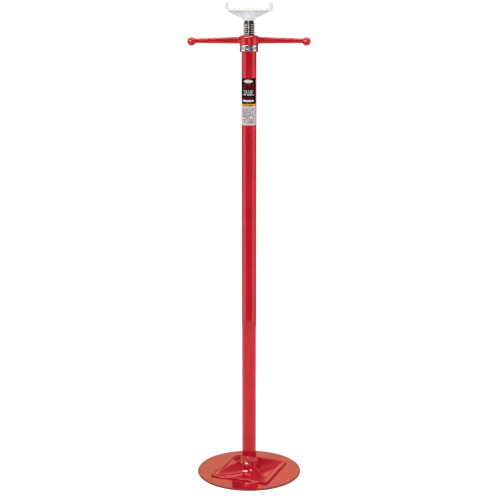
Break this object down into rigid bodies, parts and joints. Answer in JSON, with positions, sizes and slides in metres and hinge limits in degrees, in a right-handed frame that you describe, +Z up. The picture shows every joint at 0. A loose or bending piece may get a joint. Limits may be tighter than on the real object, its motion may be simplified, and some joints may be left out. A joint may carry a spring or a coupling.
{
  "type": "under-hoist support stand",
  "caption": "Tall red post on a round steel foot, with a spinner handle on a thrust bearing that raises a keyed lift screw and its white saddle.",
  "frame": {"origin": "middle of the round foot's underside, on the floor and on the post's axis", "axes": "+Z up along the post, +X along the handle's arms and the saddle's ears, -Y is the front, where the screw's keyway and the labels face"},
  "size_m": [0.349, 0.31, 1.405],
  "materials": {
    "red_paint": "gloss enamel on rolled and pressed steel",
    "red_casting": "gloss enamel on a cast surface",
    "white_paint": "gloss enamel on a forging",
    "bright_steel": "ground",
    "screw_steel": "turned and lightly oiled",
    "dark_steel": "blackened",
    "zinc_steel": "zinc plated",
    "black_label": "printed film",
    "grey_label": "printed film"
  },
  "bodies": {
    "post": {"base_plate": "red_paint", "base_pedestal": "red_paint", "pedestal_welds": "red_paint", "post_foot_weld": "red_paint", "post_tube": "red_paint", "post_top_collar": "red_paint", "guide_key": "bright_steel", "front_label": "black_label", "data_label": "grey_label", "bearing_lower_race": "bright_steel"},
    "handle": {"spinner_handle": "red_casting", "bearing_upper_race": "bright_steel"},
    "ball_cage": {"bearing_cage": "dark_steel", "bearing_balls": "bright_steel"},
    "screw": {"lift_screw": "screw_steel", "screw_guide_ring": "dark_steel", "stop_washer": "zinc_steel", "stop_lock_washer": "zinc_steel", "stop_bolt": "zinc_steel", "saddle": "white_paint", "saddle_lock_washer": "white_paint", "saddle_bolt": "white_paint"}
  },
  "joints": [
    {"name": "handle_spin", "type": "hinge", "parent": "post", "child": "handle", "pos_m": [0, 0, 1.3], "axis": [0, 0, -1], "range_deg": [-2484, 37548]},
    {"name": "cage_spin", "type": "hinge", "parent": "post", "child": "ball_cage", "pos_m": [0, 0, 1.2792], "axis": [0, 0, -1], "range_deg": [-1243, 18775]},
    {"name": "screw_lift", "type": "slide", "parent": "post", "child": "screw", "axis": [0, 0, 1], "range_m": [-0.0415, 0.6259]}
  ],
  "couplings": [
    {"joint": "screw_lift", "follows": "handle_spin", "m_per_rad": 0.00095493},
    {"joint": "cage_spin", "follows": "handle_spin", "ratio": 0.5}
  ]
}
